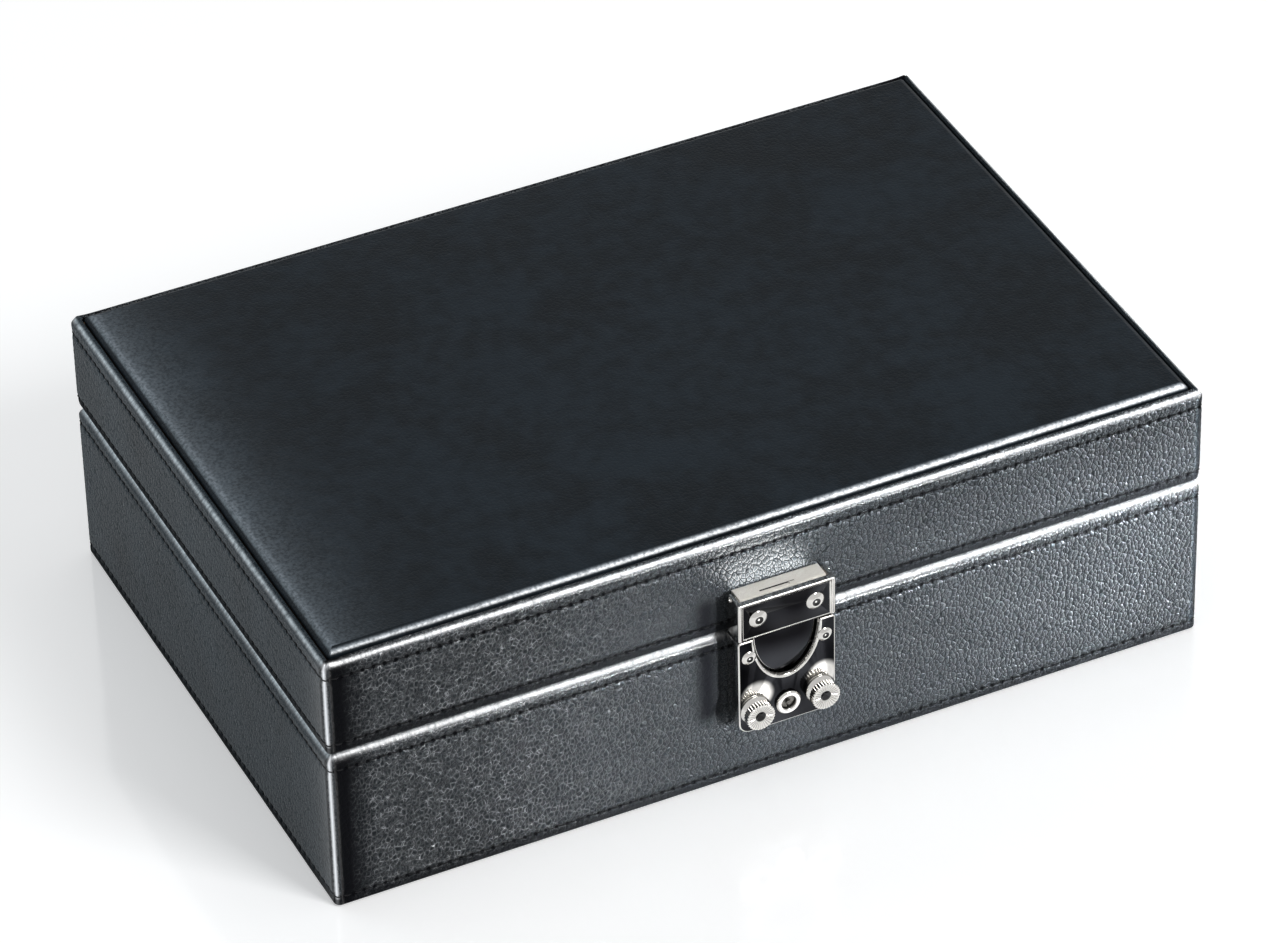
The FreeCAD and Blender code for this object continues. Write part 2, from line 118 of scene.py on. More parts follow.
def blend(share, first, second):
    """The colour that lies between two, by share."""
    return signal(share.tree, "Mix", "Result", {"Factor": share, "A": first, "B": second},
                  data_type="RGBA")


def bump(height, distance, beneath=None, invert=False):
    """The normal of a relief, laid over the one beneath it."""
    inputs = {"Height": height, "Distance": distance, **({"Normal": beneath} if beneath else {})}
    return signal(height.tree, "Bump", "Normal", inputs, invert=invert)


def clear_nodes(owner):
    """Empties the node tree of a material or of the world."""
    owner.use_nodes = True
    owner.node_tree.nodes.clear()
    return owner.node_tree


def new_material(name, look, *details, **more):
    """A material with one Principled shader. Its look gives the shader's sockets their values
    and signals, from the place on the object."""
    material = bpy.data.materials.new(name)
    tree = clear_nodes(material)
    sockets = look(signal(tree, "TexCoord", "Object"), *details, **more)
    add_node(tree, "OutputMaterial", {"Surface": signal(tree, "BsdfPrincipled", "BSDF", sockets)})
    return material


def fibreboard(here):
    """Pressed fibre: one fine noise sets its colour, its roughness and its relief."""
    speck = noise(here, 900.0, 4.0)
    return {
        "Specular IOR Level": 0.25,
        "Base Color": blend(ramp(speck, 0.35, 0.68), tint(112, 84, 58), tint(164, 130, 94)),
        "Roughness": ramp(speck, 0.0, 1.0, 0.7, 0.95), "Normal": bump(speck, 0.1 * mm)}


def dress(names, material):
    """Gives CAD nodes a material, in the slots that they have."""
    for name in names:
        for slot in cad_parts[name].material_slots:
            slot.material = material


dress([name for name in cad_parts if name.endswith("_board")],
      new_material("fibreboard", fibreboard))

# -------- base: wall leather
# One strip of pebbled black leather goes round the walls. It is turned in over the boards
# and under the bottom, and a row of stitches holds each turned edge.

leather_low, leather_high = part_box("base_wall_leather")
half_width, half_depth = leather_high[:2]
corner_radius = 2.0 * mm
sheet = 1.2 * mm
wall_inside = 7.0 * mm
base_seams = (3.4 * mm, 48.0 * mm)

front_run = 2 * (half_width - corner_radius)
side_run = 2 * (half_depth - corner_radius)
corner_run = corner_radius * math.pi / 2
run_ends = np.cumsum([0] + 2 * [front_run, corner_run, side_run, corner_run])
round_length = run_ends[-1]
stitches_round = round(round_length / (3.25 * mm))
stitch_pitch = round_length / stitches_round


def walk(distance):
    """Goes round the box's plan by distance along the leather, from the front's left end.
    Gives the place on the core rectangle, as shares of its half sides, and the outward
    angle, all straight-line functions of the distance."""
    across = np.interp(distance, run_ends, [-1, 1, 1, 1, 1, -1, -1, -1, -1])
    back = np.interp(distance, run_ends, [-1, -1, -1, 1, 1, 1, 1, -1, -1])
    angle = np.interp(distance, run_ends, np.radians([-90, -90, 0, 0, 90, 90, 180, 180, 270]))
    return across, back, angle


def strip_columns():
    """Distances round the strip: four to a stitch on straight runs, eight to a corner."""
    parts = []
    for start, end in zip(run_ends, run_ends[1:]):
        count = 8 if end - start < 2 * corner_run else round((end - start) * 4 / stitch_pitch)
        parts.append(np.linspace(start, end, count, endpoint=False))
    return np.concatenate(parts)


def wrap(inset, height, distance, radius=corner_radius):
    """Carries a section round the plan: the core rectangle, drawn in by the inset and the
    corner's radius, plus that radius along the outward direction."""
    across, back, angle = walk(distance)
    bend = np.maximum(radius - inset, 0)
    x = across * (half_width - inset - bend) + np.cos(angle) * bend
    y = back * (half_depth - inset - bend) + np.sin(angle) * bend
    return np.stack([x, y, height + 0 * x], axis=-1)


def eased_wave(wave, slack):
    """A sine or a cosine raised to a power, its sign kept."""
    return np.sign(wave) * np.abs(wave) ** slack


def bow(centre, radius, start, end, count, slack=1.0):
    """Part of a circle in a section, from angle to angle in degrees, its sine and cosine
    raised to the slack. Above 1 it is flatter on its diagonal, as folded leather is."""
    angle = np.radians(np.linspace(start, end, count))
    return np.stack([centre[0] + radius * eased_wave(np.cos(angle), slack),
                     centre[1] + radius * eased_wave(np.sin(angle), slack)], axis=1)


def fade(value, start, end):
    """Nought up to start and one from end, both in millimetres, and even between."""
    return np.clip((value / mm - start) / (end - start), 0, 1)


def bell(value, width):
    """One at nought, fading either side as a bell curve of a width in millimetres."""
    return np.exp(-(value / mm / width) ** 2)


def run(start, end, count):
    """Evenly spaced points of a section from start up to, and without, end."""
    share = np.linspace(0, 1, count, endpoint=False)[:, None]
    return np.array(start) * (1 - share) + np.array(end) * share


def route(*stops):
    """A section through corners, each given with the count of points up to the next."""
    corners = [stop[:2] for stop in stops]
    return [run(start, end, stop[2]) for start, end, stop in zip(corners, corners[1:], stops)]


def closed(index):
    """A grid of point numbers with its first column repeated at the end."""
    return np.concatenate([index, index[:, :1]], axis=1)


def cells(grid):
    """The four corners of each cell of a grid, taken round the cell."""
    return np.stack([grid[:-1, :-1], grid[:-1, 1:], grid[1:, 1:], grid[1:, :-1]], axis=2)


def smooth_mesh(name, points, faces):
    """A mesh with soft shading."""
    mesh = bpy.data.meshes.new(name)
    mesh.from_pydata(points.reshape(-1, 3).tolist(), [], faces)
    mesh.shade_smooth()
    return mesh


def grid_mesh(name, points, uv=None, through=False):
    """A mesh of quads from a rows x columns x 3 array, closed round its columns, and through
    its rows if asked. uv has the first column, and row, once more at its end."""
    rows, columns = points.shape[:2]
    index = closed(np.arange(rows * columns).reshape(rows, columns))
    if through:
        index = np.concatenate([index, index[:1]], axis=0)
    mesh = smooth_mesh(name, points, cells(index).reshape(-1, 4).tolist())
    if uv is not None:
        layer = mesh.uv_layers.new(name="run")
        layer.data.foreach_set("uv", cells(uv).astype(np.float32).ravel())
    return mesh


def mark(mesh, name, values):
    """Stores one number per point for the material to read."""
    layer = mesh.attributes.new(name, "FLOAT", "POINT")
    layer.data.foreach_set("value", values.astype(np.float32).ravel())


def in_scene(name, data):
    """Puts a mesh, a lamp or a camera into the scene as an object."""
    item = bpy.data.objects.new(name, data)
    bpy.context.scene.collection.objects.link(item)
    return item


def place(mesh, body, slot_name, material, *stood_for):
    """Makes the piece from its mesh, rides it on its body and hides the CAD parts that it stands for.
    """
    mesh.materials.clear()
    mesh.materials.append(material)
    piece = in_scene(mesh.name, mesh)
    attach(piece, body)
    if stood_for:
        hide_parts(*stood_for)
    return piece


def start_group(name, vector, *numbers):
    """An empty node group, followed by its named inputs as signals."""
    group = bpy.data.node_groups.new(name, "ShaderNodeTree")
    group.interface.new_socket(vector, in_out="INPUT", socket_type="NodeSocketVector")
    for label in numbers:
        group.interface.new_socket(label, in_out="INPUT", socket_type="NodeSocketFloat")
    given = group.nodes.new("NodeGroupInput")
    return group, *(Signal(given.outputs[label]) for label in (vector, *numbers))


def finish_group(group, outputs):
    """Gives a node group its outputs, all single numbers."""
    for label in outputs:
        group.interface.new_socket(label, in_out="OUTPUT", socket_type="NodeSocketFloat")
    result = group.nodes.new("NodeGroupOutput")
    for label, value in outputs.items():
        group.links.new(value.socket, result.inputs[label])
    return group


def use_group(tree, group, inputs):
    """Sets a node group into a material and gives its outputs by name."""
    node = add_node(tree, "Group", inputs, node_tree=group)
    return {output.name: Signal(output) for output in node.outputs}


def vector_maths(operation, *values, output="Vector"):
    """A Vector Math node's result. The first value is a signal."""
    return signal(values[0].tree, "VectorMath", output, dict(enumerate(values)), operation=operation)


def marked(tree, name):
    """The number that the mesh's points carry under a name."""
    return signal(tree, "Attribute", "Fac", attribute_name=name)


def greatest(first, *others):
    """The greatest of several signals."""
    for other in others:
        first = maths("MAXIMUM", first, other)
    return first


def leather_grain():
    """Pebbled hide. Each cell is a dome, one less the squared distance to its middle; where two meet
    there is a crease, and a band a little way in is put out as a painted glint on each pebble's
    shoulder. Finer wrinkles and pores lie on the domes, and a slow warp keeps the rows of cells from
    running straight."""
    group, here, count = start_group("leather_grain", "Vector", "Cells")
    shift = signal(group, "TexNoise", "Color", {"Vector": here, "Scale": 330.0, "Detail": 1.0})
    shift = vector_maths("SUBTRACT", shift, (0.5, 0.5, 0.5))
    warped = vector_maths("MULTIPLY_ADD", shift, (1.3 * mm, 1.3 * mm, 1.3 * mm), here)
    stretched = vector_maths("MULTIPLY", warped, (1.15, 1.15, 0.85))

    def split(scale, feature="F1"):
        return signal(group, "TexVoronoi", "Distance", {"Vector": stretched, "Scale": scale},
                      feature=feature)

    to_middle = split(count)
    to_border = split(count, "DISTANCE_TO_EDGE")
    crease = ramp(to_border, 0.0, 0.13, 1.0, 0.0, soft=True)
    shoulder_glint = ramp(maths("ABSOLUTE", to_border - 0.17), 0.0, 0.1, 1.0, 0.0)
    pores = noise(stretched, 2600.0)
    height = 1.0 - to_middle * to_middle - crease * 0.25 - split(count * 2.3) * 0.1 + pores * 0.05
    return finish_group(group, {"Height": height, "Crease": crease, "Shoulder glint": shoulder_glint,
                                "Cloud": noise(here, 38.0, 4.0)})


def stitch_marks():
    """What a stitched row does to leather; the run's x counts stitches and its y is the
    height in millimetres. Holes are round dots between stitches, and the leather dips along
    the row and rises a little between holes."""
    group, run_map, lower, upper, pitch = start_group("stitch_marks", "Run", "Lower row",
                                                      "Upper row", "Pitch")
    count, level = (signal(group, "SeparateXYZ", axis, {0: run_map}) for axis in "XY")
    beat = maths("ABSOLUTE", maths("FRACT", count) - 0.5)
    from_hole = (0.5 - beat) * pitch
    off_row = maths("MINIMUM", maths("ABSOLUTE", level - upper), maths("ABSOLUTE", level - lower))
    away = maths("SQRT", from_hole * from_hole + off_row * off_row)
    wave = maths("COSINE", count * (2 * math.pi))
    row = ramp(off_row, 0.0, 1.5, 1.0, 0.0, soft=True)
    return finish_group(group, {"Hole": ramp(away, 0.35, 0.9, 1.0, 0.0, soft=True),
                                "Dip": row * (wave * 0.3 + 0.5)})


leather_grain_group = leather_grain()
stitch_marks_group = stitch_marks()


def wall_leather(here, seams):
    """Black pebbled leather with a wax finish. Along folds it is smoother and painted paler, part
    wear and part painted highlight; painted highlights lie on two vertical corners, the mitres and
    each pebble's shoulder. It is duller and painted darker as shade in creases, stitch holes and the
    marked places of painted shade. Fine gathers cross the folds and the rows. The left of the front
    is painted darker as shade, with thin painted glints along its creases in broken patches; the end
    walls are smoother and painted a cooler, cloudier tone, the cast of the light they take."""
    tree = here.tree
    run_map = signal(tree, "UVMap", "UV", uv_map="run")
    grain = use_group(tree, leather_grain_group, {"Vector": here, "Cells": 720.0})
    rows = use_group(tree, stitch_marks_group, {
        "Run": run_map, "Lower row": seams[0] / mm, "Upper row": seams[1] / mm,
        "Pitch": stitch_pitch / mm})
    edge, painted_shade, corner_highlight, end_wall, left_shade = (
        marked(tree, mark_name) for mark_name in ("edge", "painted_shade", "corner_highlight", "end_wall", "left_shade"))
    gathers = noise(vector_maths("MULTIPLY", run_map, (3.6, 0.6, 1.0)), 1.0, 4.0, Roughness=0.65)
    rubbed_and_sheen = edge * ramp(gathers, 0.3, 0.62, 0.25)
    tone = blend(grain["Cloud"], tint(29, 33, 36), tint(50, 55, 59))
    # Painted shade: the left of the front is painted darker, and thin painted glints lie along its
    # creases in broken patches.
    left_shaded_tone = blend(left_shade * 0.6, tone, tint(18, 21, 24))
    # The end walls are painted a cooler, cloudier tone, the cast of the light they take.
    clouded = blend(grain["Cloud"], tint(16, 24, 29), tint(46, 59, 67))
    crease_glints = maths("POWER", grain["Crease"], 2.0) * left_shade * ramp(noise(here, 750.0), 0.4, 0.7)
    # Painted highlights: folds paler, part wear and part highlight; two vertical corners, the mitres,
    # pebble shoulders and crease lines near white.
    highlights_and_wear = greatest(rubbed_and_sheen * 0.2, grain["Shoulder glint"] * 0.055 + crease_glints * 0.3, corner_highlight)
    highlit_tone = blend(highlights_and_wear, blend(end_wall, left_shaded_tone, clouded), tint(248, 251, 255))
    flat = greatest(edge, corner_highlight)
    calm = 1.0 - end_wall * 0.6
    # Painted shade: creases, stitch holes and the marked places are painted darker and made duller.
    hollow_shade = grain["Crease"] * (0.65 - flat) * (calm * (1.0 - left_shade))
    hollow_shade = greatest(hollow_shade, painted_shade, rows["Hole"])
    plain = (1.0 - flat * 0.85) * calm * (1.0 - painted_shade * 0.6)
    relief = bump(grain["Height"] * plain, 0.38 * mm)
    drawn = bump(gathers * greatest(edge, rows["Dip"]), 0.08 * mm, relief)
    dips = bump(rows["Dip"], 0.35 * mm, drawn, invert=True)
    return {
        "Specular IOR Level": 0.03, "Coat Roughness": 0.26, "Coat IOR": 2.1,
        "Base Color": blend(hollow_shade, highlit_tone, tint(9, 10, 13)), "Metallic": (0.8 - hollow_shade * 0.8) * calm,
        "Roughness": hollow_shade * 0.3 + 0.42, "Coat Weight": rubbed_and_sheen,
        "Normal": bump(rows["Hole"], 0.5 * mm, dips, invert=True)}


def leather_strip(name, section, edge, seams):
    """Carries a closed section of (inset, height) points round the plan. Each outer point is drawn in
    by a bell curve along each stitched row, more at a hole, and wanders by a few hundredths over
    uneven boards. The points are marked for the folds' wear and painted highlight, for painted
    highlights on two vertical corners and the mitres, for painted shade beside the corners, along the
    hems, beside the lock, over the right wall and over the left of the front, and on the end walls,
    which have a painted sheen by their corners."""
    distance = strip_columns()
    inset = section[:, :1]
    height = section[:, 1:]
    outside = fade(inset, 1.8, 0.6)
    valley = sum(bell(height - row, 0.9) for row in seams)
    dent = 0.3 * mm * (1 + 0.45 * np.cos(2 * math.pi * distance / stitch_pitch))
    turn = 2 * math.pi * distance / round_length
    uneven = 0.05 * mm * (1 + np.sin(9 * turn + 90 * height) * np.sin(23 * turn + 1.3)
                          * np.cos(55 * height / (20 * mm)))
    points = wrap(inset + outside * (dent * valley + uneven), height, distance)
    count = np.append(distance, round_length) / stitch_pitch
    level = np.append(section[:, 1], section[0, 1]) / mm
    uv = np.stack(np.broadcast_arrays(count[None, :], level[:, None]), axis=-1)
    mesh = grid_mesh(name, points, uv, through=True)

    across, back, angle = walk(distance)
    bend = np.sin(2 * angle) ** 2
    straight = bend < 0.02
    lit_corners = across * back > 0
    end_wall = (np.abs(across) == 1) * straight
    from_corner = (1 - across * back) * np.where(end_wall, half_depth, half_width)
    # A painted sheen, with a coat, on the end walls beside their corners.
    sheen = 0.35 * end_wall * np.exp(-from_corner / (7 * mm)) * (outside > 0.5)
    mark(mesh, "edge", np.maximum(edge[:, None], sheen))
    # Painted highlights on two vertical corners and on the rounded mitres.
    lit_corner_glint = bend ** 3 * lit_corners * (outside > 0.5)
    mark(mesh, "corner_highlight", np.maximum(lit_corner_glint, 0.7 * bend * edge[:, None]))
    # The end walls, at 0.85 on the right, take their cooler painted tone.
    mark(mesh, "end_wall", end_wall * np.where(across > 0, 0.85, 1.0) + 0 * height)

    # Painted shade beside the front's left and the back's right corner and on the other two corners,
    # along the hems, left of the lock and over the right wall.
    corner_shade = fade(from_corner, 12.25, 3.25) * (np.abs(back) == 1)
    corner_shade = corner_shade * straight + 0.9 * ~straight * ~lit_corners
    hem_shade = 0.85 * fade(seams[0] - height, 0, 0.9)
    lock_shadow = bell(points[..., 0] + 21 * mm, 5) * fade(height, 20, 26) * fade(height, 72, 64)
    lock_shadow = lock_shadow * (back == -1)
    right_wall_shade = 0.5 * end_wall * (across > 0) + 0 * height
    painted_shade = np.maximum(np.maximum(corner_shade, hem_shade), np.maximum(lock_shadow, right_wall_shade))
    mark(mesh, "painted_shade", painted_shade * (1 - edge[:, None]))
    # Painted shade over the left of the front, deepening leftwards.
    mark(mesh, "left_shade", (back == -1) * straight * fade(points[..., 0], -15, -75))
    return mesh


def base_section():
    """The strip cut across: turned under, up the wall, over the top and in. It is marked for wear and
    a painted highlight, by a bell curve of the height along the fold."""
    low, top = leather_low.z, leather_high.z
    hem, fold, lip, under = 0.65 * mm, 2.5 * mm, 0.5 * mm, 12.0 * mm
    section = np.concatenate([
        run((under, low), (hem, low), 4),
        bow((hem, low + hem), hem, 270, 180, 5),
        run((0, low + hem + 0.4 * mm), (0, top - fold - 0.4 * mm), 56),
        bow((fold, top - fold), fold, 180, 90, 15, 1.5),
        run((fold + 0.3 * mm, top), (wall_inside - lip, top), 3),
        bow((wall_inside - lip, top - lip), lip, 90, 0, 4),
        *route((wall_inside, top - sheet, 2), (sheet, top - sheet, 2),
               (sheet, sheet, 2), (under, sheet, 0))])
    return section, bell(section[:, 1] - top + 0.6 * mm, 0.95) * fade(section[:, 0], 3.1, 1.9)


place(leather_strip("base_leather", *base_section(), base_seams), "base", "wall_leather",
      new_material("wall_leather_base", wall_leather, base_seams), "base_wall_leather")


def stitches(name, row_height):
    """One row of waxed thread, a capsule to each stitch. Along it the thread rises from one
    hole as a half sine, leans downhill and sinks into the next; round it the section is a
    circle that closes at both ends."""
    rows, sides = 7, 6
    share = np.linspace(0, 1, rows)[None, :, None]
    number = np.arange(stitches_round)[:, None, None]
    round_thread = np.linspace(0, 2 * math.pi, sides, endpoint=False)[None, None, :]
    reach = 0.84
    row_depth = 0.38 * mm
    distance = (number + 0.5 + (share - 0.5) * reach) * stitch_pitch
    thick = 0.27 * mm * np.sqrt(np.sin(math.pi * np.clip(share, 0.02, 0.98)))
    rise = 0.26 * mm * np.sin(math.pi * share) - 0.16 * mm
    lean = (0.5 - share) * 0.3 * mm
    out = row_depth - rise - thick * np.cos(round_thread)
    height = row_height + lean + thick * np.sin(round_thread)
    points = wrap(out, height, distance + 0 * out)
    one = closed(np.arange(rows * sides).reshape(rows, sides))
    quads, left_end, right_end = (
        (rows * sides * number[:, 0] + part.ravel()).reshape(-1, part.shape[-1]).tolist()
        for part in (cells(one), one[0, -2::-1], one[-1, :-1]))
    return smooth_mesh(name, points, quads + left_end + right_end)


def waxed_thread(here):
    """Laid thread: a diagonal wave is its plies, in colour and relief."""
    ply = signal(here.tree, "TexWave", "Fac", {"Vector": here, "Scale": 620.0, "Distortion": 1.5},
                 bands_direction="DIAGONAL")
    return {"Specular IOR Level": 0.15, "Roughness": 0.5, "Normal": bump(ply, 0.06 * mm),
            "Base Color": blend(ply, tint(6, 7, 8), tint(26, 27, 30))}


thread = new_material("waxed_thread", waxed_thread)


def sew(body, seams):
    """Both stitched rows of a body's leather."""
    for row, height in zip(("lower", "upper"), seams):
        place(stitches(body + "_stitches_" + row, height), body, "wall_leather", thread)


sew("base", base_seams)

# -------- base: underside sheet
# A stiff black sheet with a fine woven face is glued under the bottom board and hides the
# leather's turned edge. The box stands on it.


def woven_sheet(here):
    """Plain weave: the greater of two waves, one each way, is the thread on top."""
    weave = greatest(*(signal(here.tree, "TexWave", "Fac", {"Vector": here, "Scale": 330.0},
                              bands_direction=way) for way in "XY"))
    return {"Specular IOR Level": 0.2, "Sheen Weight": 0.3, "Normal": bump(weave, 0.12 * mm),
            "Base Color": blend(weave, tint(12, 13, 15), tint(38, 40, 44)),
            "Roughness": 0.92 - weave * 0.15}


dress(["base_underside_cover"], new_material("woven_sheet", woven_sheet))

# -------- base: velvet lining
# Card covered with short-pile velvet lines the walls and the floor. The pile is brushed
# unevenly, so the cloth goes lighter and darker in soft patches.


def velvet(here):
    """Short pile: a very fine noise is the fibres, and a slow one the brushing, which moves
    the colour and the lean of the pile."""
    pile = noise(here, 3200.0)
    brushed = noise(here, 45.0, 4.0, Distortion=0.8)
    fibres = blend(pile, tint(116, 109, 103), tint(172, 165, 157))
    return {
        "Specular IOR Level": 0.15, "Sheen Weight": 0.55, "Sheen Roughness": 0.45,
        "Sheen Tint": tint(214, 206, 198),
        "Base Color": blend(ramp(brushed, 0.35, 0.65, 0.0, 0.2), fibres, tint(184, 177, 168)),
        "Roughness": pile * 0.2 + 0.8, "Normal": bump(pile, 0.15 * mm, bump(brushed, 0.5 * mm))}


lining_velvet = new_material("velvet", velvet)


def lining_ring(name, low, high):
    """A closed section of card and cloth carried round inside the walls, its face wandering
    a tenth of a millimetre where the glue holds it."""
    outer, face, soft = 6.2 * mm, wall_inside, 0.3 * mm
    section = np.concatenate([
        *route((outer, high.z, 2), (outer, low.z, 2), (face, low.z, 16), (face, high.z - soft, 0)),
        bow((face - soft, high.z - soft), soft, 0, 90, 4)])[::-1]
    distance = strip_columns()[::3]
    turn = 2 * math.pi * distance / round_length
    inset, height = section[:, :1], section[:, 1:]
    facing = (inset > face - soft) * 1.0
    loose = 0.1 * mm * facing * (1 + np.sin(31 * turn + 200 * height) * np.cos(13 * turn))
    return grid_mesh(name, wrap(inset - loose, height, distance, radius=0.0), through=True)


def weld(mesh):
    """Merges doubled points and turns all faces outwards."""
    work = bmesh.new()
    work.from_mesh(mesh)
    bmesh.ops.remove_doubles(work, verts=work.verts, dist=1e-6)
    bmesh.ops.recalc_face_normals(work, faces=work.faces)
    work.to_mesh(mesh)
    work.free()
    mesh.shade_smooth()
    return mesh


def cushion(name, low, high, edge_radius, crown, facing=1):
    """A flat cushion. Its skirt is a quarter round carried about the plan, one side and one corner
    turned four times. Inside lies a grid that crowds towards its edges as a sine; its height is the
    crown times (1 - x^6)(1 - y^6), with slow waves of a few hundredths. facing is -1 for a cushion
    that faces down. The round is marked for rubbing and a painted sheen at the front and the left,
    and for a painted highlight along the front, in a band that narrows to the left; the top is marked
    for a painted sheen along its left edge."""
    columns, rows, corner = 96, 64, 7
    reach = edge_radius * 1.15
    slack = 1.5
    quarter = math.pi / 2
    across = np.sin(np.linspace(-0.5, 0.5, columns + 1) * math.pi)
    back = np.sin(np.linspace(-0.5, 0.5, rows + 1) * math.pi)
    bend = np.radians(np.linspace(0, 90, corner + 2)[1:-1])
    sides, outward = [], []
    for turn, along in enumerate((across, back, across, back)):
        sides += [(along - 1j) * 1j ** turn, (1 - 1j) * 1j ** turn + 0 * bend]
        outward += [(turn - 1) * quarter + 0 * along, (turn - 1) * quarter + bend]
    sides, outward = np.concatenate(sides), np.concatenate(outward)
    side_x, side_y = sides.real, sides.imag

    fall = np.linspace(0, quarter, 12)
    inset = np.concatenate([[0, 0], reach * (1 - np.cos(fall) ** slack)])[:, None]
    thick = high.z - low.z - crown
    height = np.concatenate([[0, (thick - edge_radius) / 2],
                             thick - edge_radius * (1 - np.sin(fall) ** slack)])
    left = 0.35 * np.maximum(reach - inset, 0)
    skirt_x = side_x * (high.x - inset - left) + np.cos(outward) * left
    skirt_y = side_y * (high.y - inset - left) + np.sin(outward) * left
    skirt = np.stack([skirt_x, skirt_y, height[:, None] + 0 * skirt_x], axis=-1)
    u, v = np.meshgrid(across, back)
    rise = crown * (1 - u ** 6) * (1 - v ** 6)
    rise = rise * (0.94 + 0.06 * np.sin(7 * u + 2 * v) * np.cos(5 * v - 3 * u))
    panel = np.stack([u * (high.x - reach), v * (high.y - reach), thick + rise], axis=-1)
    points = np.concatenate([skirt.reshape(-1, 3), panel.reshape(-1, 3)])
    points[:, 2] = (low.z if facing > 0 else high.z) + facing * points[:, 2]
    round_index = closed(np.arange(skirt_x.size).reshape(skirt_x.shape))
    panel_index = skirt_x.size + np.arange(u.size).reshape(u.shape)
    faces = cells(round_index).reshape(-1, 4).tolist() + cells(panel_index).reshape(-1, 4).tolist()
    faces.append(round_index[0, -2::-1].tolist())
    mesh = smooth_mesh(name, points, faces)

    to_front = np.clip(-np.sin(outward), 0, 1) ** 2
    to_left = np.clip(-np.cos(outward), 0, 1) ** 2
    on_round = np.concatenate([[0, 0], np.clip(np.sin(fall * 2) * 1.6 - 0.6, 0, 1)])[:, None]
    on_crest = np.concatenate([[0, 0], np.clip((fall - 0.75) / 0.6, 0, 1)])[:, None]
    narrowing = 3 - 2 * side_x
    # Marks for a painted sheen on the front and left round, and for a painted highlight along the
    # front that narrows to the left.
    rubbed_and_sheen = on_round ** narrowing * to_front + 0.9 * on_crest * to_left
    front_highlight = on_round ** (3 + narrowing) * to_front * (0.6 + 0.4 * side_x)
    from_left = (1 + u) * high.x
    from_edge = np.minimum((1 - np.abs(u)) * high.x, (1 - np.abs(v)) * high.y)
    # A painted sheen on the top along its left edge.
    wide = 0.45 * np.exp(-from_left / (9 * mm)) * (from_edge > 0.05 * mm)
    narrow = 0.45 * np.exp(-from_left / (1.0 * mm))
    mark(mesh, "front_highlight", np.concatenate([front_highlight.ravel(), 0 * u.ravel()]))
    mark(mesh, "edge", np.concatenate([rubbed_and_sheen.ravel(), (wide + narrow).ravel()]))
    return weld(mesh)


place(lining_ring("base_velvet_walls", *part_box("base_wall_lining")), "base", "velvet",
      lining_velvet, "base_wall_lining")
place(cushion("velvet_floor", *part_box("base_floor_pad"), 0.5 * mm, 0.2 * mm), "base", "velvet",
      lining_velvet, "base_floor_pad")


def evaluated(item):
    """A new mesh of an object as its modifiers leave it."""
    return bpy.data.meshes.new_from_object(
        item.evaluated_get(bpy.context.evaluated_depsgraph_get()))


def eased(node, slot_name, material, width, body, holes=(), painted_dark=1.0):
    """A rigid piece as the CAD has it, its sharp edges eased by a small round, but for those about
    the holes, given as (x, z). Flats that face the front or the back are marked, by the given share,
    to be painted dark as a dark reflection."""
    sharp = math.radians(32)
    hole_reach = 3.2 * mm
    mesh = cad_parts[node].data.copy()
    mesh.name = node + "_eased"
    weld(mesh)
    mesh.set_sharp_from_angle(angle=sharp)
    work = bmesh.new()
    work.from_mesh(mesh)
    bmesh.ops.dissolve_limit(work, angle_limit=math.radians(0.5), verts=work.verts, edges=work.edges)
    weight = work.edges.layers.float.new("bevel_weight_edge")
    for rim in work.edges:
        middle = (rim.verts[0].co + rim.verts[1].co) / 2
        clear = all(math.hypot(middle.x - x, middle.z - z) > hole_reach for x, z in holes)
        rim[weight] = float(clear and rim.calc_face_angle(0.0) > sharp)
    work.to_mesh(mesh)
    work.free()
    piece = place(mesh, body, slot_name, material, node)
    bevel = piece.modifiers.new("ease", "BEVEL")
    bevel.width = width
    bevel.segments = 2
    bevel.limit_method = "WEIGHT"
    bevel.use_clamp_overlap = not holes
    bevel.harden_normals = True
    finished = evaluated(piece)
    piece.modifiers.clear()
    piece.data = finished
    facing = np.zeros(len(finished.polygons) * 3, np.float32)
    finished.polygons.foreach_get("normal", facing)
    layer = finished.attributes.new(name="dark_reflection", type="FLOAT", domain="FACE")
    layer.data.foreach_set("value", (painted_dark * (np.abs(facing[1::3]) > 0.997)).astype(np.float32))


for divider in ("long_divider", "ring_divider", "front_divider", "rear_divider"):
    eased(divider, "velvet", lining_velvet, 0.25 * mm, "base")

# -------- base: ring rolls
# Six foam rolls covered in velvet lie side by side; rings are pushed into the slits
# between them. Each swells a little along its length and is gathered at both ends.


def ring_roll_form(low, high):
    """The roll before it swells: a superellipse by angle and length, which shrinks towards
    both ends and closes in a point."""
    columns, rows = 40, 56
    angle = np.linspace(0, 2 * math.pi, columns, endpoint=False)
    share = np.linspace(-1, 1, rows)[:, None]
    middle = (np.array(low) + np.array(high)) / 2
    half = (np.array(high) - np.array(low)) / 2 - 0.25 * mm
    full = (1 - np.abs(share) ** 16) ** 0.25
    y = middle[1] + half[1] * full * eased_wave(np.cos(angle), 0.75)
    z = middle[2] + half[2] * full * eased_wave(np.sin(angle), 0.8)
    points = np.stack([middle[0] + half[0] * share + 0 * y, y, z], axis=-1)
    first, last = (ring.mean(axis=1, keepdims=True) + 0 * ring for ring in (points[:1], points[-1:]))
    return weld(grid_mesh("ring_roll_form", np.concatenate([first, points, last])))


def coordinates(mesh):
    """All points of a mesh, as rows of x, y and z."""
    flat = np.zeros(len(mesh.vertices) * 3, np.float32)
    mesh.vertices.foreach_get("co", flat)
    return flat.reshape(-1, 3)


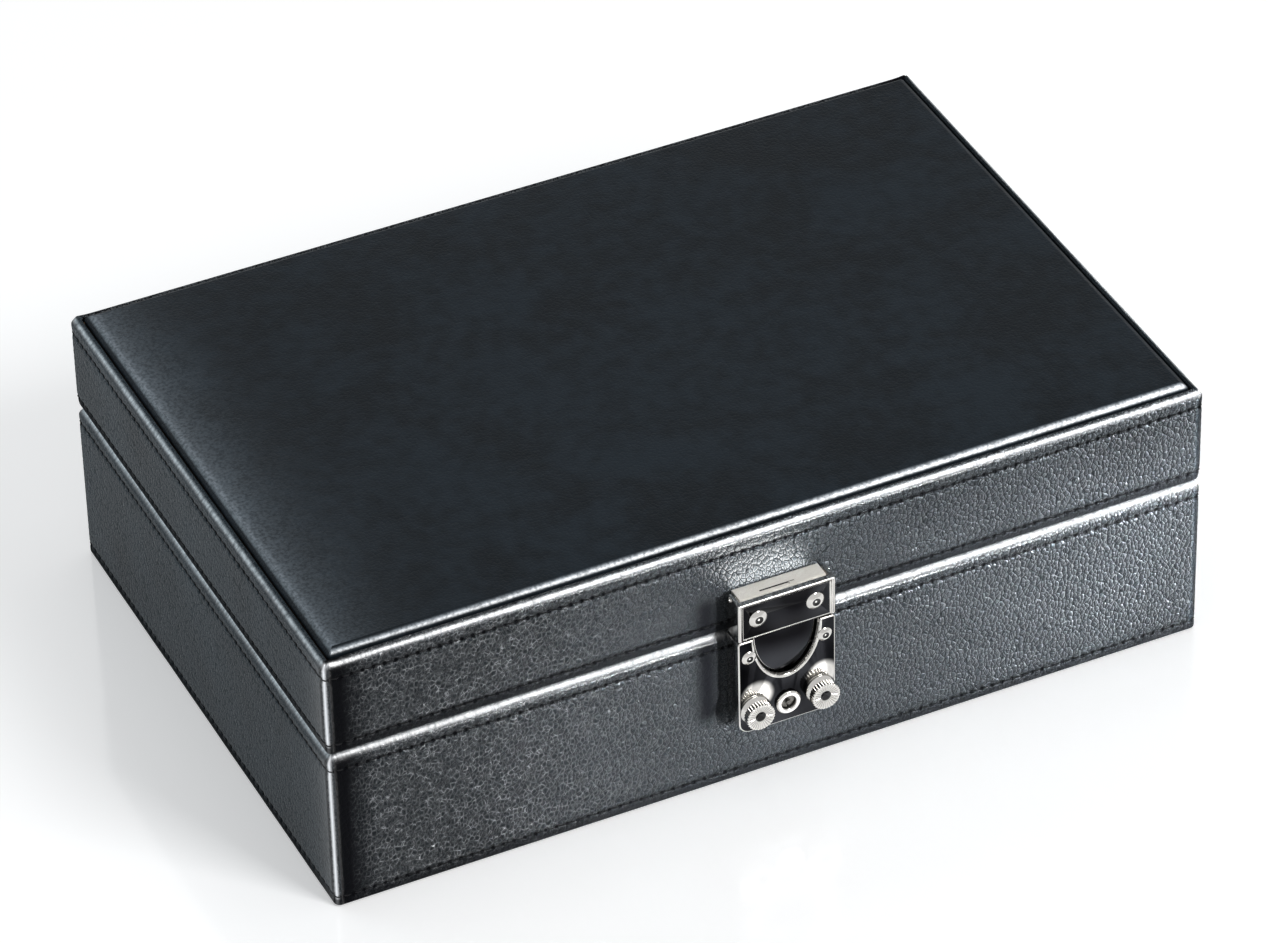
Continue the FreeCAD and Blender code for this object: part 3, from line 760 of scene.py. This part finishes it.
def swell(mesh, pressure, cap):
    """Remeshes a copy of the form and blows it up as cloth, no point moving beyond the cap."""
    scene = bpy.context.scene
    settling = 20
    work = in_scene("swelling", mesh.copy())
    remesh = work.modifiers.new("skin", "REMESH")
    remesh.mode = "VOXEL"
    remesh.voxel_size = 1.1 * mm
    skin = evaluated(work)
    work.modifiers.clear()
    work.data = skin
    cloth = work.modifiers.new("cloth", "CLOTH")
    cloth.settings.use_pressure = True
    cloth.settings.uniform_pressure_force = pressure
    cloth.settings.effector_weights.gravity = 0
    for step in range(1, settling + 1):
        scene.frame_set(step)
    swollen = evaluated(work)
    scene.frame_set(1)
    before = coordinates(skin)
    move = coordinates(swollen) - before
    far = np.linalg.norm(move, axis=1, keepdims=True)
    move *= np.minimum(1, cap / np.maximum(far, 1e-9))
    swollen.vertices.foreach_set("co", (before + move).ravel())
    bpy.data.objects.remove(work)
    swollen.shade_smooth()
    return swollen


roll_low, roll_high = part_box("ring_roll_1")
roll_mesh = ring_roll_form(roll_low, roll_high)
roll_mesh = swell(roll_mesh, 4.0, 0.25 * mm)
for number in range(1, 7):
    node = "ring_roll_" + str(number)
    low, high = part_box(node)
    one = roll_mesh.copy()
    one.name = "padded_" + node
    one.transform(Matrix.Translation((0, low.y - roll_low.y, 0)))
    place(one, "base", "velvet", lining_velvet, node)

# -------- lid: wall leather and rim
# The lid's strip is the same leather. Above the top board it is folded double into a
# standing rim, its inner ply a shade lower, with the fold mitred at the four corners. Below,
# it draws in under a row of stitches to its turned edge.

lid_low, lid_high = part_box("lid_wall_leather")
lid_seams = (57.0 * mm, 79.7 * mm)
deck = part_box("lid_top_pad")[0].z


def lid_section():
    """The strip cut across, from its turned-in lower edge up and over the rim. The fold's outer half
    is marked for wear and a painted highlight, by a bell curve of the height."""
    low, top = lid_low.z, lid_high.z
    fold, inner, bead, bead_drop = 2.1 * mm, 2.7 * mm, 0.42 * mm, 0.175 * mm
    hem, hem_in, row_in = 1.5 * mm, 0.35 * mm, 0.12 * mm
    section = np.concatenate([
        run((wall_inside, low), (hem + hem_in, low), 4),
        bow((hem + hem_in, low + hem), hem, 270, 180, 9)[:-1],
        *route((hem_in, low + hem, 8), (row_in, lid_seams[0] - 0.9 * mm, 6),
               (0.0, lid_seams[0] + 1.2 * mm, 38), (0.0, top - fold, 0)),
        bow((fold, top - fold), fold, 180, 86, 15, 1.5),
        bow((inner - bead, top - bead_drop - bead), bead, 110, 0, 6),
        *route((inner, top - 1.1 * mm, 3), (inner, deck, 2), (inner, deck - 1.5 * mm, 2),
               (sheet, deck - 3.2 * mm, 2), (sheet, low + sheet, 2),
               (wall_inside, low + sheet, 0))])
    return section, bell(section[:, 1] - top + 0.8 * mm, 0.7) * fade(section[:, 0], 1.8, 1.0)


def pinch_corners(mesh):
    """Gathers the rim at its mitres: a soft swelling, cut by a narrow crease along the
    diagonal, both bell curves."""
    points = coordinates(mesh)
    mitre = np.array([half_width - 1.2 * mm, half_depth - 1.2 * mm])
    off = np.abs(points[:, :2]) - mitre
    along = np.abs(off[:, 0] - off[:, 1]) / math.sqrt(2)
    far = np.linalg.norm(off, axis=1)
    lift = 0.35 * mm * bell(far, 2.6) - 0.45 * mm * bell(along, 0.28) * bell(far, 2.2)
    points[:, 2] += lift * fade(points[:, 2] - lid_high.z, -1.6, -0.4)
    mesh.vertices.foreach_set("co", points.ravel())
    return mesh


lid_strip = pinch_corners(leather_strip("lid_leather", *lid_section(), lid_seams))
place(lid_strip, "lid", "wall_leather", new_material("wall_leather_lid", wall_leather, lid_seams),
      "lid_wall_leather")
sew("lid", lid_seams)

# -------- lid: padded top panel
# Thin foam on the top board under smoother, finer leather, its edges pulled down into the
# groove inside the rim, so that the panel is lightly crowned and rounds over all along.


def panel_leather(here):
    """The same hide, finer and pressed nearly smooth: shallow small cells, their creases painted a
    little darker as shade, and soft clouds of wax. Marked edges are painted paler and bluer as a
    sheen, and a bright broken line along the front is a painted highlight."""
    grain = use_group(here.tree, leather_grain_group, {"Vector": here, "Cells": 900.0})
    wax = noise(here, 24.0, 5.0, Distortion=0.6)
    mottle = noise(here, 210.0, 5.0)
    patches = ramp(wax * 0.6 + mottle * 0.4, 0.36, 0.64, soft=True)
    tone = blend(patches, tint(18, 24, 29), tint(31, 39, 46))
    # Creases painted a little darker as shade.
    grained = blend(grain["Crease"] * 0.25, tone, tint(14, 17, 19))
    glints = ramp(noise(here, 1100.0, 3.0), 0.36, 0.6, 0.45)
    rubbed_and_sheen = marked(here.tree, "edge") * (wax + 0.6) * glints
    # A painted sheen, paler and bluer, on marked edges, and a painted highlight, a near-white
    # metallic line, along the front.
    sheened = blend(rubbed_and_sheen * 0.7, grained, tint(92, 112, 128))
    shine = marked(here.tree, "front_highlight") * (glints * 0.8)
    return {
        "Specular IOR Level": 0.08, "Coat Roughness": 0.26, "Coat IOR": 2.1,
        "Base Color": blend(shine, sheened, tint(246, 249, 252)), "Metallic": shine,
        "Roughness": ramp(wax, 0.3, 0.7, 0.42, 0.54), "Coat Weight": rubbed_and_sheen,
        "Normal": bump(grain["Height"], 0.09 * mm)}


panel = place(cushion("padded_top", *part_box("lid_top_pad"), 1.9 * mm, 0.7 * mm), "lid",
              "panel_leather", new_material("panel_leather", panel_leather), "lid_top_pad")

# -------- lid: velvet inside
# The lid's walls have the base's lining, and a thin velvet cushion on card fills its roof.

place(lining_ring("lid_velvet_walls", *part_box("lid_wall_lining")), "lid", "velvet", lining_velvet,
      "lid_wall_lining")
roof = cushion("padded_roof", *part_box("lid_ceiling_pad"), 1.4 * mm, 0.6 * mm, facing=-1)
place(roof, "lid", "velvet", lining_velvet, "lid_ceiling_pad")

# -------- back hinges
# Two butt hinges of nickel-plated steel: leaves rolled into knuckles, a headed pin, and
# two slotted screws through each leaf into the board.


def plated_metal():
    """Hand marks on plating: slow smears, fine crossing rubs, and the sheet's waves."""
    group, here, fineness = start_group("plated_metal", "Vector", "Fineness")
    return finish_group(group, {"Smear": noise(here, 160.0, 3.0), "Wave": noise(here, 75.0, 0.0),
                                "Rub": noise(here, fineness, 3.0, Distortion=2.0)})


plated_metal_group = plated_metal()


def metal(here, light, dark, smooth, dull, ripple, fineness=1800.0, relief=0.004 * mm, share=1.0,
          cleaned=()):
    """Plated steel. light and dark are clean and smeared plating, smooth and dull their roughness,
    and ripple how far the pressed sheet is from flat. Marked flats are painted dark in soft clouds, a
    painted dark reflection, which is left off in bright spots of (x, z, radius). A share below one is
    a frosted, part matt plating."""
    marks = use_group(here.tree, plated_metal_group, {"Vector": here, "Fineness": fineness})
    plating = blend(marks["Smear"], tint(*light), tint(*dark))
    # A painted dark reflection on marked flats, in soft clouds, left off in the bright spots.
    painted_dark = blend(ramp(marks["Wave"], 0.36, 0.66), tint(5, 5, 7), tint(38, 39, 42))
    dark_reflection = marked(here.tree, "dark_reflection")
    for x, z, radius in cleaned:
        off = vector_maths("DISTANCE", vector_maths("MULTIPLY", here, (1, 0, 1)), (x, 0, z),
                           output="Value")
        dark_reflection = dark_reflection * ramp(off, 0.55 * radius, radius, soft=True)
    return {"Metallic": share, "Base Color": blend(dark_reflection, plating, painted_dark),
            "Roughness": ramp(marks["Smear"], 0.3, 0.7, smooth, dull),
            "Normal": bump(marks["Rub"], relief, bump(marks["Wave"], ripple))}


polished = new_material("polished_nickel", metal, (222, 220, 216), (196, 194, 190), 0.05, 0.12,
                        0.12 * mm)
satin = new_material("satin_steel", metal, (190, 190, 190), (160, 160, 160), 0.25, 0.4, 0.02 * mm)
frosted = new_material("frosted_nickel", metal, (250, 247, 240), (215, 210, 200), 0.15, 0.25,
                       0.05 * mm, fineness=800.0, relief=0.35 * mm, share=0.35)

for side in ("left", "right"):
    # The leaves' flats carry the painted dark reflection at 0.7.
    eased("hinge_base_leaf_" + side, "nickel_plate", polished, 0.15 * mm, "base", painted_dark=0.7)
    eased("hinge_lid_leaf_" + side, "nickel_plate", polished, 0.15 * mm, "lid", painted_dark=0.7)
    eased("hinge_pin_" + side, "nickel_plate", polished, 0.1 * mm, "base")


def turned(section, columns=48):
    """A section of (radius, out) points swung round its axis, as rows x columns x 3."""
    angle = np.linspace(0, 2 * math.pi, columns, endpoint=False)
    radius = section[:, :1]
    out = section[:, 1:] + 0 * angle
    return np.stack([radius * np.cos(angle), radius * np.sin(angle), out], axis=-1)


def headed(head, stem, shank):
    """A shank and a flat underside below a head's section."""
    return np.concatenate([[(0.0, -shank), (stem, -shank), (stem, 0.0), (head[0, 0], 0.0)], head])


def dome(radius, rise, count):
    """A head's section from its rim to its middle, part of a circle through both."""
    ball = (radius ** 2 + rise ** 2) / (2 * rise)
    angle = np.linspace(math.asin(radius / ball), 0, count)
    return np.stack([ball * np.sin(angle), rise - ball + ball * np.cos(angle)], axis=1)


def slotted_screw(radius, rise, shank):
    """A round head with a driver slot: the dome's height, less a groove whose depth falls
    off smoothly either side of a line."""
    points = turned(headed(dome(radius, rise, 22), 0.8 * mm, shank), 64)
    off_line = np.abs(points[:, :, 1])
    groove = 0.5 * mm / (1 + np.exp((off_line - 0.24 * mm) / (0.03 * mm)))
    on_head = (points[:, :, 2] > 0.15 * rise) * 1.0
    points[:, :, 2] -= np.minimum(groove * on_head, np.maximum(points[:, :, 2] - 0.05 * mm, 0))
    return points


def stand_on(points, x, face, z, side, turn=0.0):
    """Lays a form drawn along +Z on the front face (side -1) or the back face (side 1), turned
    about its own axis."""
    across, along, out = np.moveaxis(points, -1, 0)
    return np.stack([x - side * (across * math.cos(turn) - along * math.sin(turn)),
                     side * (face + out),
                     z + across * math.sin(turn) + along * math.cos(turn)], axis=-1)


def joined(name, forms):
    """One mesh from several closed forms."""
    meshes = [grid_mesh(name, form) for form in forms]
    work = bmesh.new()
    for mesh in meshes:
        work.from_mesh(mesh)
    for mesh in meshes[1:]:
        bpy.data.meshes.remove(mesh)
    work.to_mesh(meshes[0])
    work.free()
    return weld(meshes[0])


screw_radius = 1.7 * mm
screw_gap = 18.0 * mm
screw_face = half_depth + 1.0 * mm
screw = slotted_screw(screw_radius, 0.8 * mm, 0.6 * mm)
for body, node in (("base", "hinge_base_screws"), ("lid", "hinge_lid_screws")):
    low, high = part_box(node)
    outer = high.x - screw_radius
    screws_across = [side * (outer - step * screw_gap) for side in (-1, 1) for step in range(2)]
    forms = [stand_on(screw, x, screw_face, (low.z + high.z) / 2, 1, 0.5 + 1.1 * number)
             for number, x in enumerate(screws_across)]
    place(joined(node + "_slotted", forms), body, "steel", satin, node)

# -------- lock case
# A pressed and polished nickel case, riveted through the leather to a back plate. The
# hasp's tongue drops into the U notch in its front, and the two knobs and the key barrel
# stand below.

lock_face = -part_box("lock_case")[0].y
# Spots on the case's front left clear of the painted dark reflection, to show bright.
reflection_spots = ((-9.3 * mm, 34.0 * mm, 5.6 * mm), (11.0 * mm, 34.4 * mm, 5.4 * mm))
spotted_nickel = new_material("spotted_nickel", metal, (226, 224, 220), (200, 198, 194), 0.05, 0.12,
                              0.12 * mm, cleaned=reflection_spots)
eased("lock_case", "nickel_plate", spotted_nickel, 0.42 * mm, "base",
      holes=((-10.1 * mm, 29.5 * mm), (0, 28.8 * mm), (10.1 * mm, 29.5 * mm)))
dress(["lock_back_plate", "lock_plate_rivets"], satin)
# Painted shade in the key barrel: its post and plug are a darker steel.
dress(["key_post", "key_plug"], new_material("shaded_key_steel", metal, (120, 118, 114), (60, 58, 56),
                                             0.2, 0.4, 0.02 * mm))


def rivet_pair(name, node, body, radius, rise, dimple, shank):
    """Two like rivets on the lock's face, left and right of the middle, where the CAD has them: a
    dome less a bell-shaped dimple, with a ring in the dimple marked to be painted dark as shade."""
    head = dome(radius, rise, 26)
    head[:, 1] -= dimple * 0.55 * np.exp(-(head[:, 0] / dimple) ** 4)
    form = turned(headed(head, 0.9 * mm, shank))
    low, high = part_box(node)
    x = high.x - radius
    z = (low.z + high.z) / 2
    mesh = joined(name, [stand_on(form, side * x, lock_face, z, -1) for side in (-1, 1)])
    spots = coordinates(mesh)
    off_axis = np.hypot(np.abs(spots[:, 0]) - x, spots[:, 2] - z)
    # A ring in the dimple is painted dark as shade.
    dimple_shade = np.abs(off_axis - 0.8 * dimple) < 0.45 * dimple
    mark(mesh, "dark_reflection", 0.95 * dimple_shade * (spots[:, 1] < -lock_face - 0.3 * rise))
    place(mesh, body, "nickel_plate", polished, node)


rivet_pair("case_rivets_domed", "lock_case_rivets", "base", 2.25 * mm, 0.9 * mm, 0.8 * mm, 1.2 * mm)

# -------- key barrel
# A raised ring frames the keyhole; inside it the barrel turns about a fixed post.

low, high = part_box("key_escutcheon")
bore, outer_round, inner_round = 2.2 * mm, 0.6 * mm, 0.35 * mm
ring_section = np.concatenate([
    [(bore, 0.0), (high.x, 0.0)],
    bow((high.x - outer_round, 0.5 * mm), outer_round, 0, 90, 8),
    bow((bore + inner_round, 0.75 * mm), inner_round, 90, 180, 6)])
ring_form = stand_on(turned(ring_section, 64), 0, lock_face, (low.z + high.z) / 2, -1)
place(weld(grid_mesh("key_ring_rounded", ring_form, through=True)), "base", "nickel_plate", polished,
      "key_escutcheon")

# -------- knobs
# Two turned knobs with flared skirts, straight knurls and dished faces. Each turns a stamped
# cam behind the case's front.

knurls = 28
rim_knurl, face_knurl = 0.075, 0.16 * mm
case_out = lock_face - half_depth


def knob_section(face):
    """Shaft, flared skirt, neck, knurled rim and dished face, from the back to the middle."""
    foot = case_out + 0.12 * mm
    shaft, skirt, neck, rim, dish = 1.5 * mm, 4.6 * mm, 3.6 * mm, 4.2 * mm, 1.7 * mm
    flare = np.linspace(0, 1, 10)[:, None]
    skirt_curve = np.hstack([skirt - (skirt - neck) * flare ** 1.2,
                             foot + 0.22 * mm + 1.4 * mm * flare])
    under, over = 0.3 * mm, 0.35 * mm
    rim_low = foot + 1.75 * mm
    return np.concatenate([
        [(0.0, 1.3 * mm), (shaft, 1.3 * mm), (shaft, foot), (skirt - 0.1 * mm, foot)],
        skirt_curve,
        bow((rim - under, rim_low + under), under, 270, 360, 5),
        run((rim, rim_low + 0.4 * mm), (rim, face - 0.4 * mm), 8),
        bow((rim - over, face - over), over, 0, 90, 6),
        run((3.7 * mm, face), (dish, face - 0.35 * mm), 10),
        run((dish, face - 0.4 * mm), (0.0, face - 1.6 * mm), 8),
        [(0.0, face - 1.6 * mm)]])


for side in ("left", "right"):
    low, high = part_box("lock_knob_" + side)
    x, z = (low.x + high.x) / 2, (low.z + high.z) / 2
    face = -low.y - half_depth
    section = knob_section(face)
    radius, out = section.T
    angle = np.linspace(0, 2 * math.pi, knurls * 8, endpoint=False)
    ridge = np.abs(np.cos(angle * knurls / 2)) ** 0.7 - 0.5
    on_rim = fade(radius, 3.85, 4.15) * (out > case_out + 1.8 * mm)
    on_face = (radius > 1.75 * mm) & (radius < 3.75 * mm) & (out > face - 0.5 * mm)
    form = turned(section, knurls * 8)
    form[..., :2] *= (1 + on_rim[:, None] * rim_knurl * ridge)[..., None]
    form[..., 2] += on_face[:, None] * face_knurl * (ridge - 0.5)
    knob = weld(grid_mesh("knurled_knob_" + side, stand_on(form, x, half_depth, z, -1)))
    knob.set_sharp_from_angle(angle=math.radians(50))
    spots = coordinates(knob)
    # The dished face is painted dark as shade.
    in_dish = np.hypot(spots[:, 0] - x, spots[:, 2] - z) < 1.6 * mm
    mark(knob, "dark_reflection", 0.95 * in_dish * (spots[:, 1] < low.y + 2 * mm))
    place(knob, "knob_" + side, "nickel_plate", polished, "lock_knob_" + side)
    eased("knob_cam_" + side, "steel", satin, 0.1 * mm, "knob_" + side)

# -------- hasp
# The hasp swings on a pin through a bracket riveted to the lid. Its front plate has a raised
# border; the tongue and its catch are held behind it by two domed rivets.

eased("hasp_bracket", "nickel_plate", frosted, 0.2 * mm, "lid")
dress(["hasp_bracket_rivets"], satin)
dress(["hasp_pin"], polished)
eased("hasp_cover", "nickel_plate", polished, 0.4 * mm, "hasp",
      holes=((-8.8 * mm, 61 * mm), (8.8 * mm, 61 * mm)))
eased("hasp_tongue", "nickel_plate", polished, 0.25 * mm, "hasp")
eased("tongue_catch", "steel", satin, 0.08 * mm, "hasp")
rivet_pair("hasp_rivets_domed", "hasp_rivets", "hasp", 2.8 * mm, 1.1 * mm, 1.0 * mm, 3.0 * mm)

# -------- studio
# A pale floor that mirrors faintly, white walls all round, three softboxes, a snoot on the
# lock's shelf, gridded lamps that rake the front leather, and the camera.


def seen_by(tree, *rays):
    """One for rays of these kinds, and else nought."""
    return greatest(*(signal(tree, "LightPath", "Is " + ray + " Ray") for ray in rays))


def pale_floor():
    """A smooth pale board that glows a little to the eye and in mirrors, but lights nothing."""
    material = bpy.data.materials.new("pale_floor")
    tree = clear_nodes(material)
    speck = signal(tree, "TexNoise", "Fac", {"Scale": 6.0, "Detail": 2.0})
    board = signal(tree, "BsdfPrincipled", "BSDF", {
        "Base Color": blend(speck, tint(242, 243, 244), tint(246, 247, 248)), "Roughness": 0.1,
        "Specular IOR Level": 0.9})
    glow = signal(tree, "Emission", 0, {
        "Strength": seen_by(tree, "Camera", "Glossy", "Transmission") * 0.34})
    add_node(tree, "OutputMaterial", {"Surface": signal(tree, "AddShader", 0, {0: board, 1: glow})})
    return material


span = 6.0
floor_mesh = bpy.data.meshes.new("floor")
floor_mesh.from_pydata([(-span, -span, 0), (span, -span, 0), (span, span, 0), (-span, span, 0)], [],
                       [(0, 1, 2, 3)])
floor_mesh.materials.append(pale_floor())
floor = in_scene("floor", floor_mesh)

world = bpy.data.worlds.new("studio")
bpy.context.scene.world = world
tree = clear_nodes(world)
strength = greatest(seen_by(tree, "Glossy", "Transmission") * 0.44 + 0.36, seen_by(tree, "Camera"))
backdrop = signal(tree, "Background", 0, {"Color": (1.0, 1.0, 1.0, 1.0), "Strength": strength})
add_node(tree, "OutputWorld", {"Surface": backdrop})


def soft_lamp(name, spot, aim, size, power, spread=180, colour=(1.0, 1.0, 1.0)):
    """A softbox at a spot, facing its aim. A grid keeps its light within the spread, in
    degrees."""
    lamp = bpy.data.lights.new(name, "AREA")
    lamp.shape = "RECTANGLE"
    lamp.size, lamp.size_y = size
    lamp.energy, lamp.color, lamp.spread = power, colour, math.radians(spread)
    holder = in_scene(name, lamp)
    holder.location = spot
    holder.rotation_mode = "QUATERNION"
    holder.rotation_quaternion = (Vector(aim) - Vector(spot)).to_track_quat("-Z", "Y")
    return holder


def lit_alone(name, *pieces):
    """A group of pieces, for lamps that light nothing else."""
    group = bpy.data.collections.new(name)
    for piece in pieces:
        group.objects.link(bpy.data.objects[piece])
    return group


box_middle = (0.0, 0.0, 0.045)
soft_lamp("front_softbox", (0.6, -1.26, 1.24), box_middle, (0.6, 0.55), 17.0)
soft_lamp("overhead_softbox", (0.0, 0.1, 1.7), box_middle, (0.9, 0.9), 3.0)
soft_lamp("rear_softbox", (-0.9, 1.05, 0.53), box_middle, (0.7, 0.5), 2.5, colour=(0.72, 0.9, 1.0))

# The last of the raking lamps is the light that the lock's shelf throws back on the leather
# above it.
raked = lit_alone("raked_leather", "base_leather", "lid_leather")
for lamp in (
        soft_lamp("right_grid", (0.70, -0.68, 0.15), (0.26, -0.09, 0.04), (0.2, 0.16), 0.7, 27),
        soft_lamp("corner_grid", (0.55, -0.5, 0.06), (0.135, -0.09, 0.035), (0.1, 0.08), 0.23, 8),
        soft_lamp("middle_grid", (0.35, -0.95, 0.2), (-0.01, -0.09, 0.03), (0.12, 0.1), 0.2, 10),
        soft_lamp("shelf_bounce", (-0.0015, -0.0938, 0.0677), (-0.0015, -0.0938, 0.1), (0.023, 0.007),
                  0.009, 150, (1.0, 0.97, 0.92))):
    lamp.light_linking.receiver_collection = raked
    lamp.visible_camera = False
snoot = soft_lamp("lock_snoot", (0.12, -0.3, 0.5), (0.0, -0.094, 0.067), (0.06, 0.06), 0.9)
snoot.light_linking.receiver_collection = lit_alone("lock_top", "hasp_bracket_eased")

azimuth, elevation, roll = -24.86, 37.31, -1.45
looked_at, away = (0.0005, 0.0008, 0.042), 2.004
camera = in_scene("camera", bpy.data.cameras.new("camera"))
camera.data.lens = 198.45
camera.data.sensor_width = 36.0
camera.data.clip_start = 0.05
camera.matrix_world = Matrix.Translation(looked_at)
for angle, axis in ((azimuth, "Z"), (90 - elevation, "X"), (roll, "Z")):
    camera.matrix_world @= Matrix.Rotation(math.radians(angle), 4, axis)
camera.matrix_world @= Matrix.Translation((0, 0, away))
bpy.context.scene.camera = camera
bpy.context.scene.view_settings.view_transform = "Standard"
